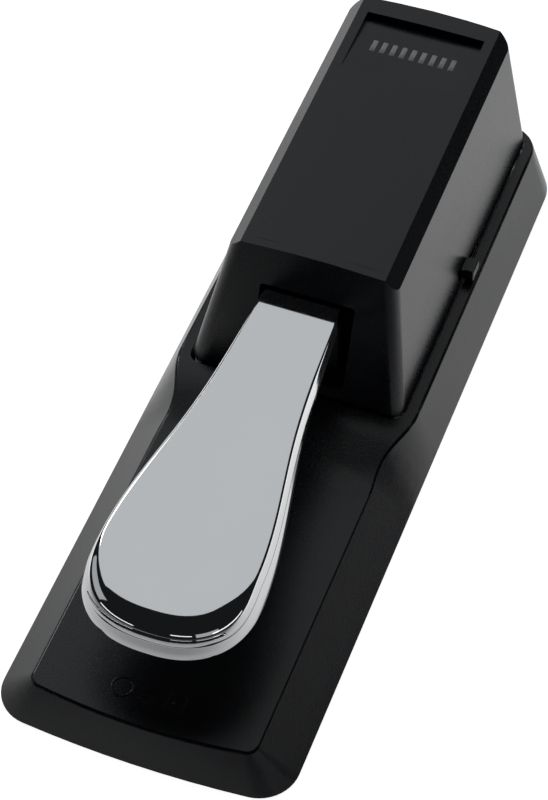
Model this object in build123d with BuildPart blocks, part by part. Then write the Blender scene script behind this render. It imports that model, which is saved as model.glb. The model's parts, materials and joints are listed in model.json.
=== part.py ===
from build123d import *
from math import cos, pi, sin
import os

# Sustain pedal for an electronic keyboard. Millimetres.
# Origin: middle of the base on the floor. +X right, +Y towards the rear, +Z up.

# ---- base ---------------------------------------------------------------------
BASE_LENGTH = 264.0
BASE_WIDTH = 90.0
BASE_BOTTOM = 0.8          # the moulded rim stops just above the floor
DECK_TOP = 13.6            # flat deck under the foot plate
LEDGE_TOP = 17.4           # raised ledge around the housing
FRONT_BOW = 2.8            # how far the front edge bulges forward
DECK_HALF = 33.9
LEDGE_HALF = 38.4
FRONT_SKIRT_RUN = 4.8
REAR_SKIRT_RUN = 3.0
FRONT_CORNER_R = 12.0
DECK_CORNER_R = 3.5
REAR_CORNER_R = 16.0
LEDGE_CORNER_R = 11.0
SWELL_START = -25.0        # where the narrow deck starts to widen
SWELL_END = 2.0            # where the full ledge width is reached
SHELL_WALL = 2.4
DECK_EDGE_R = 1.0
SCREW_POST_R = 3.6

FRONT_Y = -BASE_LENGTH / 2
REAR_Y = BASE_LENGTH / 2
BASE_HALF = BASE_WIDTH / 2
SKIRT_GROWTH = (LEDGE_TOP - BASE_BOTTOM) / (DECK_TOP - BASE_BOTTOM)

# ---- floor parts --------------------------------------------------------------
MAT_T = 2.5
PLATE_T = 1.5
FLOOR_Z = MAT_T + PLATE_T
PLATE_INSET = 6.2          # plate and mat lie inside the moulded rim
MAT_INSET = 4.8

# ---- housing ------------------------------------------------------------------
COVER_WALL = 2.4
COVER_BOTTOM_HALF = 34.4   # half width where the wall meets the ledge
COVER_SHOULDER_HALF = 26.7 # half width at the lower edge of the chamfer
COVER_TOP_HALF = 22.7
SHOULDER_DROP = 3.9
COVER_TOP_Z = 60.2         # height of the top face's edge at the front wall
COVER_TOP_SLOPE = 0.017    # the top rises towards the rear
TOP_CROWN = 0.5
FRONT_WALL_LOW_Y = -2.2
FRONT_WALL_TOP_Y = 12.0
REAR_WALL_LOW_Y = 127.0
REAR_WALL_TOP_Y = 124.6
FRONT_WALL_BOW = 0.7
REAR_WALL_BOW = 3.0
COVER_CORNER_R = 4.0
FOOT_STEP = 0.6            # the cover's foot is set back below the ledge
JOINT_GAP = 0.5            # joint line between cover and ledge
BEZEL_T = 3.4              # the front bezel is parted from the cover this far behind its face
SEAM = 0.05
SLOT_HALF = 15.0
SLOT_LOW = 21.0
SLOT_TOP = 48.6
POST_TOP = 28.0

# ---- recessed label on the top face -------------------------------------------
LABEL_HALF = 19.5
LABEL_FRONT_Y = 92.0
LABEL_REAR_Y = 117.4
LABEL_DEPTH = 2.0
LABEL_BACKING = 2.0        # thickness of the roof left under the recess

# ---- pedal --------------------------------------------------------------------
PEDAL_X = -1.2             # the pedal sits slightly to the left in its slot
FOOT_HALF = 25.8
FOOT_CENTRE_Y = -92.0      # widest place of the foot plate
FOOT_NOSE = 25.6
NOSE_SQUARENESS = 2.4      # exponent of the nose curve, 2 is an ellipse
WAIST_HALF = 18.0
WAIST_Y = -42.0
NECK_HALF = 12.8
NECK_Y = 8.0
PEDAL_TOP_Z = 47.5         # top face where the neck enters the slot
PEDAL_TOP_SLOPE = 0.01
PEDAL_LOW_SLOPE = 0.082
PEDAL_PLATE = 3.2
PEDAL_TAIL_Y = 68.0
PEDAL_EDGE_R = 2.0
RIM_T = 2.6
LUG_T = 2.6
PEDAL_LOW_Z = PEDAL_TOP_Z - PEDAL_PLATE   # lower edge where the neck enters the slot

# ---- pivot --------------------------------------------------------------------
PIVOT_Y = 58.0
PIVOT_Z = 39.4
SHAFT_R = 3.0
SHAFT_HALF = 20.0
BUSH_R = 4.5
BUSH_FLANGE_R = 6.0
BUSH_FLANGE_T = 1.8
BUSH_GAP = 0.05            # running clearance of shaft and bush
FIT = 0.02
EAR_X = 15.2               # inner face of the bracket's ears
EAR_T = 1.6
CLIP_X = 17.0
CLIP_BORE_R = 2.4
CLIP_R = 5.0
CLIP_T = 0.8
BRACKET_FOOT_TOP = FLOOR_Z + 1.6

# ---- spring and stops -----------------------------------------------------------
SPRING_Y = 24.0
SPRING_R = 6.0
SPRING_WIRE_R = 0.9
SPRING_TURNS = 7
SEAT_TOP = 8.0
STOP_Y = 11.5
STOP_TOP = 37.7
DOWN_PAD_T = 2.4
UP_STOP_Y = 18.6
UP_STOP_TOP = 50.5
UP_PAD_T = 2.4

# ---- boards and switches --------------------------------------------------------
BOARD_T = 1.6
MAIN_BOARD_Z = 22.0
SIDE_BOARD_Z = 12.0
POST_R = 2.5
SWITCH_Y = 38.0
SWITCH_TOP = 34.0
PLUNGER_LOW = 31.0
PLUNGER_TOP = 36.6
STRIKER_GAP = 0.4
POLARITY_TOP = 23.0
KNOB_Y = 60.8
KNOB_TRAVEL = 4.0
KNOB_LENGTH = 5.6
KNOB_LOW = 18.0
KNOB_TOP = 22.4
KNOB_ROOT_X = 25.6
KNOB_COLLAR_X = 34.6
KNOB_TIP_X = 37.7
NOTCH_FRONT_Y = 55.0       # finger recess around the knob
NOTCH_REAR_Y = 77.0
NOTCH_TOP = 25.5
NOTCH_DEPTH = 1.4
KNOB_MID_Z = (KNOB_LOW + KNOB_TOP) / 2
NOTCH_MID_Y = (NOTCH_FRONT_Y + NOTCH_REAR_Y) / 2
NOTCH_MID_Z = (LEDGE_TOP + NOTCH_TOP) / 2
WALL_LEAN = 0.195          # sideways lean of the side walls per unit of height

# ---- fasteners and cable inlet ----------------------------------------------------
SCREW_R = 1.5
SCREW_HEAD_R = 2.8
SCREW_HEAD_T = 1.2
PAN_HEAD_R = 2.6
PAN_HEAD_T = 1.6
CABLE_Z = 32.0
CABLE_R = 2.6
GROMMET_R = 5.0
GROMMET_FACE_Y = 128.3

STANDING = (Align.CENTER, Align.CENTER, Align.MIN)   # box that stands on its place
OUTWARDS = (Align.MIN, Align.CENTER, Align.CENTER)   # box that reaches out along X


def pedal_top(y):
    """Height of the pedal's upper face at a distance y along it."""
    return PEDAL_TOP_Z + PEDAL_TOP_SLOPE * (y - NECK_Y)


def cover_top(y):
    """Height of the cover's top edge at a distance y along it."""
    return COVER_TOP_Z + COVER_TOP_SLOPE * (y - FRONT_WALL_TOP_Y)


def front_wall_y(z):
    """Place of the sloping front wall at height z."""
    run = (FRONT_WALL_TOP_Y - FRONT_WALL_LOW_Y) / (COVER_TOP_Z - LEDGE_TOP)
    return FRONT_WALL_LOW_Y + run * (z - LEDGE_TOP)


def rear_wall_y(z):
    """Place of the rear wall's middle at height z."""
    run = (REAR_WALL_TOP_Y - REAR_WALL_LOW_Y) / (COVER_TOP_Z - LEDGE_TOP)
    return REAR_WALL_LOW_Y + run * (z - LEDGE_TOP)


def base_outline(z, front, rear, half_front, half_rear, front_r, rear_r):
    """Plan of the base: bowed front edge, S-shaped widening, rounded corners."""
    side_y = front + FRONT_BOW
    with BuildSketch(Plane.XY.offset(z)) as outline:
        with BuildLine():
            ThreePointArc((0, front), (half_front / 2, front + FRONT_BOW / 4), (half_front, side_y))
            Line((half_front, side_y), (half_front, SWELL_START))
            Spline((half_front, SWELL_START), (half_rear, SWELL_END), tangents=[(0, 1), (0, 1)])
            Line((half_rear, SWELL_END), (half_rear, rear))
            Line((half_rear, rear), (0, rear))
            mirror(about=Plane.YZ)
        make_face()
        front_corners = [v for v in outline.vertices() if abs(v.Y - side_y) < 0.01]
        fillet(front_corners, front_r)
        rear_corners = [v for v in outline.vertices() if abs(v.Y - rear) < 0.01 and abs(v.X) > 1]
        fillet(rear_corners, rear_r)
    return outline.sketch


def base_blank(inset, drop):
    """Skirted block with a ramp up to the ledge, its walls and deck shrunk inwards."""
    bottom = base_outline(
        BASE_BOTTOM, FRONT_Y + inset, REAR_Y - inset, BASE_HALF - inset, BASE_HALF - inset,
        FRONT_CORNER_R - inset / 2, REAR_CORNER_R - inset / 2,
    )
    top = base_outline(
        LEDGE_TOP,
        FRONT_Y + FRONT_SKIRT_RUN * SKIRT_GROWTH + inset,
        REAR_Y - REAR_SKIRT_RUN - inset,
        BASE_HALF - (BASE_HALF - DECK_HALF) * SKIRT_GROWTH - inset,
        LEDGE_HALF - inset,
        FRONT_CORNER_R - (FRONT_CORNER_R - DECK_CORNER_R) * SKIRT_GROWTH,
        LEDGE_CORNER_R - inset / 2,
    )
    low = DECK_TOP - drop
    high = LEDGE_TOP - drop
    ramp_start = SWELL_START - 5
    ramp_end = FRONT_WALL_LOW_Y
    sky = LEDGE_TOP + 6
    with BuildPart() as blank:
        loft([bottom, top], ruled=True)
        with BuildSketch(Plane.YZ):
            with BuildLine():
                Line((FRONT_Y - 5, low), (ramp_start, low))
                Spline((ramp_start, low), (ramp_end, high), tangents=[(1, 0), (1, 0)])
                Line((ramp_end, high), (REAR_Y + 5, high))
                Line((REAR_Y + 5, high), (REAR_Y + 5, sky))
                Line((REAR_Y + 5, sky), (FRONT_Y - 5, sky))
                Line((FRONT_Y - 5, sky), (FRONT_Y - 5, low))
            make_face()
        extrude(amount=BASE_WIDTH, both=True, mode=Mode.SUBTRACT)
    return blank.part


def loft_between(low, high):
    """Straight-sided solid between two plans."""
    with BuildPart() as block:
        loft([low, high], ruled=True)
    return block.part


def cover_section(y, inset):
    """Cross-section of the cover at y: leaning walls, chamfers, crowned top."""
    top = cover_top(y) - inset
    shoulder = cover_top(y) - SHOULDER_DROP - inset / 2
    low = COVER_BOTTOM_HALF - inset
    side = COVER_SHOULDER_HALF - inset
    edge = COVER_TOP_HALF - inset / 2
    with BuildSketch(Plane.XZ.offset(-y)) as section:
        with BuildLine():
            Line((0, LEDGE_TOP), (low, LEDGE_TOP))
            Line((low, LEDGE_TOP), (side, shoulder))
            Line((side, shoulder), (edge, top))
            ThreePointArc((edge, top), (edge / 2, top + TOP_CROWN * 0.75), (0, top + TOP_CROWN))
            mirror(about=Plane.YZ)
        make_face()
    return section.sketch


def cover_plan(z, inset):
    """Plan of the cover's front and rear walls at height z; the sides stay open wide."""
    front = front_wall_y(z) + inset
    rear = rear_wall_y(z) - inset
    side = BASE_HALF
    front_bow = FRONT_WALL_BOW
    rear_bow = REAR_WALL_BOW
    with BuildSketch(Plane.XY.offset(z)) as plan:
        with BuildLine():
            ThreePointArc((0, front + front_bow), (side / 2, front + front_bow * 0.75), (side, front))
            Line((side, front), (side, rear - rear_bow))
            ThreePointArc((side, rear - rear_bow), (side / 2, rear - rear_bow / 4), (0, rear))
            mirror(about=Plane.YZ)
        make_face()
    return plan.sketch


def cover_blank(inset):
    """Solid block with the cover's outer shape, shrunk by inset."""
    walls = loft_between(cover_plan(LEDGE_TOP, inset), cover_plan(COVER_TOP_Z + 6, inset))
    with BuildPart() as blank:
        loft([cover_section(-20, inset), cover_section(140, inset)], ruled=True)
        add(walls, mode=Mode.INTERSECT)
    return blank.part


def bezel_zone(behind):
    """Block that holds everything in front of the seam between bezel and cover."""
    sky = COVER_TOP_Z + 6
    low = front_wall_y(LEDGE_TOP) + behind
    with BuildPart() as zone:
        with BuildSketch(Plane.YZ):
            with BuildLine():
                Polyline(
                    (-BASE_HALF, 0), (low, 0), (low, LEDGE_TOP), (front_wall_y(sky) + behind, sky),
                    (-BASE_HALF, sky), close=True,
                )
            make_face()
        extrude(amount=BASE_WIDTH, both=True)
    return zone.part


def ledge_outline(half, front, rear):
    """Plan of the cover's foot and of the opening that it stands in."""
    bow = REAR_WALL_BOW * (half / BASE_HALF) ** 2
    with BuildSketch(Plane.XY.offset(FLOOR_Z)) as outline:
        with BuildLine():
            Line((0, front), (half, front))
            Line((half, front), (half, rear - bow))
            ThreePointArc((half, rear - bow), (half / 2, rear - bow / 4), (0, rear))
            mirror(about=Plane.YZ)
        make_face()
        fillet([v for v in outline.vertices() if abs(v.X) > 1], COVER_CORNER_R)
    return outline.sketch


def nose_point(share, half, length):
    """Point on the squared-off nose curve, from its tip (0) to its widest place (1)."""
    angle = share * pi / 2
    power = 2 / NOSE_SQUARENESS
    return half * sin(angle) ** power, FOOT_CENTRE_Y - length * abs(cos(angle)) ** power


def pedal_outline(inset, tail_y):
    """Plan of the pedal: narrow neck, soft waist and a broad elliptical foot plate."""
    foot = FOOT_HALF - inset
    nose = FOOT_NOSE - inset
    waist = WAIST_HALF - inset
    neck = NECK_HALF - inset
    with BuildSketch() as outline:
        with BuildLine():
            Spline(*[nose_point(i / 6, foot, nose) for i in range(7)], tangents=[(1, 0), (0, 1)])
            Spline(
                (foot, FOOT_CENTRE_Y), (waist, WAIST_Y), (neck, NECK_Y),
                tangents=[(0, 1), (-0.1, 1)],
            )
            Line((neck, NECK_Y), (neck, tail_y))
            Line((neck, tail_y), (0, tail_y))
            mirror(about=Plane.YZ)
        make_face()
    return outline.sketch


def side_profile(points):
    """Closed outline in the YZ plane."""
    with BuildSketch(Plane.YZ) as profile:
        with BuildLine():
            Polyline(*points, close=True)
        make_face()
    return profile.sketch


def under_plane(y):
    """Plane on the underside of the pedal's neck at y, facing up."""
    return Plane(
        origin=(0, y, pedal_top(y) - PEDAL_PLATE), x_dir=(1, 0, 0), z_dir=(0, -PEDAL_TOP_SLOPE, 1)
    )


def wall_x(z):
    """Half width of the cover's outer wall at height z."""
    shoulder = cover_top(KNOB_Y) - SHOULDER_DROP
    lean = (COVER_BOTTOM_HALF - COVER_SHOULDER_HALF) / (shoulder - LEDGE_TOP)
    return COVER_BOTTOM_HALF - lean * (z - LEDGE_TOP)


def turned(profile_points):
    """Part turned about the Z axis from a half profile of (radius, height) points."""
    with BuildPart() as piece:
        with BuildSketch(Plane.XZ):
            with BuildLine():
                Polyline(*profile_points, close=True)
            make_face()
        revolve(axis=Axis.Z)
    return piece.part


def group(piece, places):
    """The same piece repeated at several places, as separate solids."""
    return Compound(children=[copy_at(piece, place) for place in places])


def copy_at(piece, place):
    """A copy of the piece moved to a place."""
    return Pos(*place) * piece


def save(part, name):
    """Label a finished piece and write it to its own file."""
    part.label = name
    export_step(part, f"parts/{name}.step")
    print(name, round(part.volume), "mm3")


os.makedirs("parts", exist_ok=True)

SHELL_SCREWS = [(x, y, 0) for x in (-24, 24) for y in (-110, -38)]
COVER_SCREWS = [(x, y, 0) for x in (-28, 28) for y in (10, 112)]
MAIN_POSTS = [(x, SWITCH_Y, 0) for x in (-13, 13)]
SIDE_POSTS = [(22, y, 0) for y in (51.6, 78.4)]
RIVETS = [(PEDAL_X + x, y, 0) for x in (-9, 9) for y in (52, 64)]
HOLE_R = SCREW_R + FIT

# ---- base shell: skirted moulding, open below, with posts for the floor plate --
with BuildPart() as base_shell:
    add(base_blank(0, 0))
    rim = [
        e
        for e in base_shell.edges()
        if e.bounding_box().min.Z > DECK_TOP - 0.01
        and (abs(e.center().X) > 1 or e.bounding_box().max.Y < FRONT_Y + 10 or e.center().Y > REAR_Y - 5)
    ]
    fillet(rim, DECK_EDGE_R)
    add(base_blank(SHELL_WALL + 0.4, SHELL_WALL), mode=Mode.SUBTRACT)
    with BuildSketch(Plane.XY.offset(FLOOR_Z)):
        with Locations(*[(x, y) for x, y, z in SHELL_SCREWS]):
            Circle(SCREW_POST_R)
    extrude(amount=DECK_TOP - SHELL_WALL / 2 - FLOOR_Z)
    with BuildSketch(Plane.XY.offset(FLOOR_Z)):
        with Locations(*[(x, y) for x, y, z in SHELL_SCREWS]):
            Circle(HOLE_R)
    extrude(amount=7, mode=Mode.SUBTRACT)
    add(ledge_outline(
        COVER_BOTTOM_HALF + JOINT_GAP, FRONT_WALL_LOW_Y - JOINT_GAP, REAR_WALL_LOW_Y + JOINT_GAP
    ))
    extrude(amount=BASE_WIDTH, mode=Mode.SUBTRACT)
save(base_shell.part, "base_shell")

# ---- housing: chamfered roof, screw posts inside, sloping front bezel with the slot ------
switch_panel = Plane(
    origin=(wall_x(NOTCH_MID_Z), NOTCH_MID_Y, NOTCH_MID_Z),
    x_dir=(0, 1, 0),
    z_dir=(1, 0, WALL_LEAN),
)
with BuildPart() as cover_moulding:
    add(cover_blank(0))
    uprights = [
        e
        for e in cover_moulding.edges()
        if abs(e.center().X) > 28 and e.bounding_box().size.Z > 9 and e.bounding_box().size.Y < 20
    ]
    fillet(uprights, COVER_CORNER_R)
    foot = (COVER_BOTTOM_HALF - FOOT_STEP, FRONT_WALL_LOW_Y + FOOT_STEP, REAR_WALL_LOW_Y - FOOT_STEP)
    add(ledge_outline(*foot))
    extrude(amount=LEDGE_TOP + 0.5 - FLOOR_Z)
    add(cover_blank(COVER_WALL), mode=Mode.SUBTRACT)
    add(ledge_outline(foot[0] - COVER_WALL, foot[1] + COVER_WALL, foot[2] - COVER_WALL))
    extrude(amount=LEDGE_TOP + 1 - FLOOR_Z, mode=Mode.SUBTRACT)
    with BuildSketch(Plane.XY.offset(FLOOR_Z)):
        with Locations(*[(x, y) for x, y, z in COVER_SCREWS]):
            Circle(SCREW_POST_R)
    extrude(amount=POST_TOP - FLOOR_Z)
    with BuildSketch(Plane.XY.offset(FLOOR_Z)):
        with Locations(*[(x, y) for x, y, z in COVER_SCREWS]):
            Circle(HOLE_R)
    extrude(amount=12, mode=Mode.SUBTRACT)
    # rib that carries the up-stop pad
    with Locations((0, UP_STOP_Y, UP_STOP_TOP)):
        Box(20, 6, COVER_TOP_Z - 1 - UP_STOP_TOP, align=STANDING)
    # thicker roof below the recessed label
    backing_z = cover_top(LABEL_REAR_Y) - LABEL_DEPTH - LABEL_BACKING
    with Locations((0, (LABEL_FRONT_Y + LABEL_REAR_Y) / 2, backing_z)):
        Box(2 * LABEL_HALF + 3, LABEL_REAR_Y - LABEL_FRONT_Y + 3, LABEL_BACKING + 0.5, align=STANDING)
    extrude(
        side_profile([
            (LABEL_FRONT_Y, cover_top(LABEL_FRONT_Y) - 0.1),
            (LABEL_REAR_Y, cover_top(LABEL_REAR_Y) - LABEL_DEPTH),
            (LABEL_REAR_Y, cover_top(LABEL_REAR_Y) + 4),
            (LABEL_FRONT_Y, cover_top(LABEL_REAR_Y) + 4),
        ]),
        amount=LABEL_HALF, both=True, mode=Mode.SUBTRACT,
    )
    # slot for the pedal's neck
    with BuildSketch(Plane.XZ):
        with Locations((0, (SLOT_LOW + SLOT_TOP) / 2)):
            RectangleRounded(2 * SLOT_HALF, SLOT_TOP - SLOT_LOW, 1.0)
    extrude(amount=15, both=True, mode=Mode.SUBTRACT)
    # finger recess of the polarity switch, with the knob's slot in its floor
    with BuildSketch(switch_panel):
        Rectangle(NOTCH_REAR_Y - NOTCH_FRONT_Y, NOTCH_TOP - LEDGE_TOP)
    extrude(amount=-NOTCH_DEPTH, mode=Mode.SUBTRACT)
    with BuildSketch(switch_panel):
        with Locations((KNOB_Y + KNOB_TRAVEL / 2 - NOTCH_MID_Y, KNOB_MID_Z - NOTCH_MID_Z)):
            Rectangle(KNOB_LENGTH + KNOB_TRAVEL + 1.2, KNOB_TOP - KNOB_LOW + 1)
    extrude(amount=-6, mode=Mode.SUBTRACT)
    # hole for the cable grommet
    with BuildSketch(Plane.XZ.offset(-REAR_Y)):
        with Locations((0, CABLE_Z)):
            Circle(GROMMET_R)
    extrude(amount=15, mode=Mode.SUBTRACT)

with BuildPart() as front_bezel:
    add(cover_moulding.part)
    add(bezel_zone(BEZEL_T), mode=Mode.INTERSECT)
save(front_bezel.part, "front_bezel")

with BuildPart() as housing_cover:
    add(cover_moulding.part)
    add(bezel_zone(BEZEL_T + SEAM), mode=Mode.SUBTRACT)
save(housing_cover.part, "housing_cover")

# ---- floor plate and rubber mat ----------------------------------------------------
screw = turned([
    (0, MAT_T), (SCREW_HEAD_R, MAT_T), (SCREW_R, MAT_T + SCREW_HEAD_T), (SCREW_R, 10.0), (0, 10.0),
])
long_screw = turned([
    (0, MAT_T), (SCREW_HEAD_R, MAT_T), (SCREW_R, MAT_T + SCREW_HEAD_T), (SCREW_R, 15.0), (0, 15.0),
])
rivet = turned([
    (0, MAT_T), (SCREW_R, MAT_T), (SCREW_R, BRACKET_FOOT_TOP), (PAN_HEAD_R, BRACKET_FOOT_TOP),
    (1.6, BRACKET_FOOT_TOP + 1.2), (0, BRACKET_FOOT_TOP + 1.2),
])

with BuildPart() as bottom_plate:
    add(base_outline(
        MAT_T, FRONT_Y + PLATE_INSET, REAR_Y - PLATE_INSET, BASE_HALF - PLATE_INSET,
        BASE_HALF - PLATE_INSET, FRONT_CORNER_R - 4, REAR_CORNER_R - 4,
    ))
    extrude(amount=PLATE_T)
    with BuildSketch(Plane.XY.offset(MAT_T)):
        with Locations(*[(x, y) for x, y, z in SHELL_SCREWS + COVER_SCREWS + RIVETS]):
            Circle(HOLE_R)
    extrude(amount=PLATE_T, mode=Mode.SUBTRACT)
    sink_z = MAT_T + (SCREW_HEAD_T + FIT) / 2
    with Locations(*[(x, y, sink_z) for x, y, z in SHELL_SCREWS + COVER_SCREWS]):
        Cone(SCREW_HEAD_R + FIT, SCREW_R + FIT, SCREW_HEAD_T + FIT, mode=Mode.SUBTRACT)
save(bottom_plate.part, "bottom_plate")

with BuildPart() as rubber_mat:
    add(base_outline(
        0, FRONT_Y + MAT_INSET, REAR_Y - MAT_INSET, BASE_HALF - MAT_INSET,
        BASE_HALF - MAT_INSET, FRONT_CORNER_R - 3, REAR_CORNER_R - 3,
    ))
    extrude(amount=MAT_T)
save(rubber_mat.part, "rubber_mat")

save(group(screw, SHELL_SCREWS), "shell_screws")
save(group(long_screw, COVER_SCREWS), "cover_screws")
save(group(rivet, RIVETS), "bracket_rivets")

# ---- pedal: plated pressing with a deep rim, hinge lugs at the rear ------------------
with BuildPart() as pedal:
    add(pedal_outline(0, PEDAL_TAIL_Y))
    extrude(amount=80)
    add(
        extrude(
            side_profile([
                (FRONT_Y, PEDAL_LOW_Z + PEDAL_LOW_SLOPE * (FRONT_Y - NECK_Y)),
                (NECK_Y, PEDAL_LOW_Z),
                (PEDAL_TAIL_Y + 5, pedal_top(PEDAL_TAIL_Y + 5) - PEDAL_PLATE),
                (PEDAL_TAIL_Y + 5, pedal_top(PEDAL_TAIL_Y + 5)),
                (FRONT_Y, pedal_top(FRONT_Y)),
            ]),
            amount=FOOT_HALF + 2, both=True, mode=Mode.PRIVATE,
        ),
        mode=Mode.INTERSECT,
    )
    crown_edges = [
        e
        for e in pedal.edges()
        if e.center().Z > pedal_top(e.center().Y) - 0.3 and e.center().Y < NECK_Y
    ]
    fillet(crown_edges, PEDAL_EDGE_R)
    below_plate = side_profile([
        (FRONT_Y, 0), (NECK_Y, 0), (NECK_Y, pedal_top(NECK_Y) - PEDAL_PLATE),
        (FRONT_Y, pedal_top(FRONT_Y) - PEDAL_PLATE),
    ])
    pocket = extrude(pedal_outline(RIM_T, -14), amount=80, mode=Mode.PRIVATE) & extrude(
        below_plate, amount=FOOT_HALF, both=True, mode=Mode.PRIVATE
    )
    add(pocket, mode=Mode.SUBTRACT)
    with BuildSketch(Plane.YZ):
        with BuildLine():
            Polyline(
                (PIVOT_Y - 8, pedal_top(PIVOT_Y) - 1), (PIVOT_Y - 8, PIVOT_Z), (PIVOT_Y - 5, PIVOT_Z - 7),
                (PIVOT_Y + 5, PIVOT_Z - 7), (PIVOT_Y + 8, PIVOT_Z), (PIVOT_Y + 8, pedal_top(PIVOT_Y) - 1),
                close=True,
            )
        make_face()
    extrude(amount=NECK_HALF, both=True)
    with Locations((0, PIVOT_Y, PIVOT_Z - 1)):
        Box(2 * (NECK_HALF - LUG_T), 20, 13.4, mode=Mode.SUBTRACT)
    with Locations(Location((0, PIVOT_Y, PIVOT_Z), (0, 90, 0))):
        Cylinder(BUSH_R, 2 * NECK_HALF + 2, mode=Mode.SUBTRACT)
    # boss that centres the spring
    with BuildSketch(under_plane(SPRING_Y)):
        Circle(SPRING_R - SPRING_WIRE_R - 0.8)
    extrude(amount=-3)
save(Pos(PEDAL_X, 0, 0) * pedal.part, "pedal")

# ---- pivot: fixed shaft, bushes in the pedal's lugs, riveted bracket ------------------
shaft_turned = turned([
    (0, -SHAFT_HALF), (SHAFT_R, -SHAFT_HALF), (SHAFT_R, -CLIP_X - CLIP_T - FIT),
    (CLIP_BORE_R, -CLIP_X - CLIP_T - FIT), (CLIP_BORE_R, -CLIP_X + FIT), (SHAFT_R, -CLIP_X + FIT),
    (SHAFT_R, CLIP_X - FIT), (CLIP_BORE_R, CLIP_X - FIT), (CLIP_BORE_R, CLIP_X + CLIP_T + FIT),
    (SHAFT_R, CLIP_X + CLIP_T + FIT), (SHAFT_R, SHAFT_HALF), (0, SHAFT_HALF),
])
across = Location((PEDAL_X, PIVOT_Y, PIVOT_Z), (0, 90, 0))
save(across * shaft_turned, "pivot_shaft")

clip = turned([
    (CLIP_BORE_R + FIT, 0), (CLIP_R, 0), (CLIP_R, CLIP_T), (CLIP_BORE_R + FIT, CLIP_T),
])
clips = [across * Pos(0, 0, along) * clip for along in (CLIP_X, -CLIP_X - CLIP_T)]
save(Compound(children=clips), "retaining_clips")

bush = turned([
    (SHAFT_R + BUSH_GAP, NECK_HALF - LUG_T), (BUSH_R - FIT, NECK_HALF - LUG_T),
    (BUSH_R - FIT, NECK_HALF + FIT), (BUSH_FLANGE_R, NECK_HALF + FIT),
    (BUSH_FLANGE_R, NECK_HALF + BUSH_FLANGE_T), (SHAFT_R + BUSH_GAP, NECK_HALF + BUSH_FLANGE_T),
])
save(across * bush, "pivot_bush_right")
save(Location((PEDAL_X, PIVOT_Y, PIVOT_Z), (0, -90, 0)) * bush, "pivot_bush_left")

with BuildPart() as pivot_bracket:
    with Locations((PEDAL_X, PIVOT_Y, FLOOR_Z)):
        Box(2 * (EAR_X + EAR_T), 22, BRACKET_FOOT_TOP - FLOOR_Z, align=STANDING)
    for side in (-1, 1):
        with BuildSketch(Plane.YZ.offset(PEDAL_X + side * (EAR_X + EAR_T / 2))):
            with BuildLine():
                ThreePointArc(
                    (PIVOT_Y - 7, PIVOT_Z), (PIVOT_Y, PIVOT_Z + 7), (PIVOT_Y + 7, PIVOT_Z),
                )
                Line((PIVOT_Y + 7, PIVOT_Z), (PIVOT_Y + 11, FLOOR_Z))
                Line((PIVOT_Y + 11, FLOOR_Z), (PIVOT_Y - 11, FLOOR_Z))
                Line((PIVOT_Y - 11, FLOOR_Z), (PIVOT_Y - 7, PIVOT_Z))
            make_face()
            with Locations((PIVOT_Y, PIVOT_Z)):
                Circle(SHAFT_R + FIT, mode=Mode.SUBTRACT)
        extrude(amount=EAR_T / 2, both=True)
    with BuildSketch(Plane.XY.offset(FLOOR_Z)):
        with Locations(*[(x, y) for x, y, z in RIVETS]):
            Circle(HOLE_R)
    extrude(amount=3, mode=Mode.SUBTRACT)
save(pivot_bracket.part, "pivot_bracket")

# ---- return spring and stops ----------------------------------------------------------
spring_seat = turned([
    (0, FLOOR_Z), (SPRING_R + 2.6, FLOOR_Z), (SPRING_R + 2.6, SEAT_TOP + 2), (SPRING_R + 1.4, SEAT_TOP + 2),
    (SPRING_R + 1.4, SEAT_TOP), (SPRING_R - 1.4, SEAT_TOP), (SPRING_R - 1.8, SEAT_TOP + 4),
    (0, SEAT_TOP + 4),
])
save(Pos(PEDAL_X, SPRING_Y, 0) * spring_seat, "spring_seat")

spring_low = SEAT_TOP + SPRING_WIRE_R + FIT
spring_high = pedal_top(SPRING_Y) - PEDAL_PLATE - SPRING_WIRE_R - 0.6
spring_pitch = (spring_high - spring_low) / SPRING_TURNS
with BuildPart() as return_spring:
    with BuildLine(Plane.XY.offset(spring_low)) as coil:
        Helix(spring_pitch, spring_high - spring_low, SPRING_R)
    with BuildSketch(Plane(coil.line @ 0, z_dir=coil.line % 0)):
        Circle(SPRING_WIRE_R)
    sweep(is_frenet=True)
save(Pos(PEDAL_X, SPRING_Y, 0) * return_spring.part, "return_spring")

with BuildPart() as stop_block:
    with Locations((0, STOP_Y, FLOOR_Z)):
        Box(20, 4, STOP_TOP - FLOOR_Z, align=STANDING)
    with Locations((0, STOP_Y, FLOOR_Z)):
        Box(26, 4, 3, align=STANDING)
    fillet(stop_block.edges().filter_by(Axis.Z), 0.8)
save(stop_block.part, "stop_block")

with BuildPart() as down_stop_pad:
    with Locations((0, STOP_Y, STOP_TOP)):
        Box(18, 3.6, DOWN_PAD_T, align=STANDING)
    fillet(down_stop_pad.edges().filter_by(Axis.Z), 0.8)
save(down_stop_pad.part, "down_stop_pad")

with BuildPart() as up_stop_pad:
    with Locations((0, UP_STOP_Y, UP_STOP_TOP)):
        Box(18, 5.4, UP_PAD_T, align=(Align.CENTER, Align.CENTER, Align.MAX))
    fillet(up_stop_pad.edges().filter_by(Axis.Z), 0.8)
save(up_stop_pad.part, "up_stop_pad")


# ---- switch boards on posts -------------------------------------------------------------
def board_post(top):
    """Round post with a screw hole in its upper end."""
    return turned([
        (0, FLOOR_Z), (POST_R, FLOOR_Z), (POST_R, top), (HOLE_R, top), (HOLE_R, top - 6), (0, top - 6),
    ])


def board_screw(top):
    """Pan-head screw that clamps a board on a post of the given height."""
    seat = top + BOARD_T
    return turned([
        (0, top - 5), (SCREW_R, top - 5), (SCREW_R, seat), (PAN_HEAD_R, seat),
        (PAN_HEAD_R, seat + PAN_HEAD_T / 2), (1.4, seat + PAN_HEAD_T), (0, seat + PAN_HEAD_T),
    ])


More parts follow.
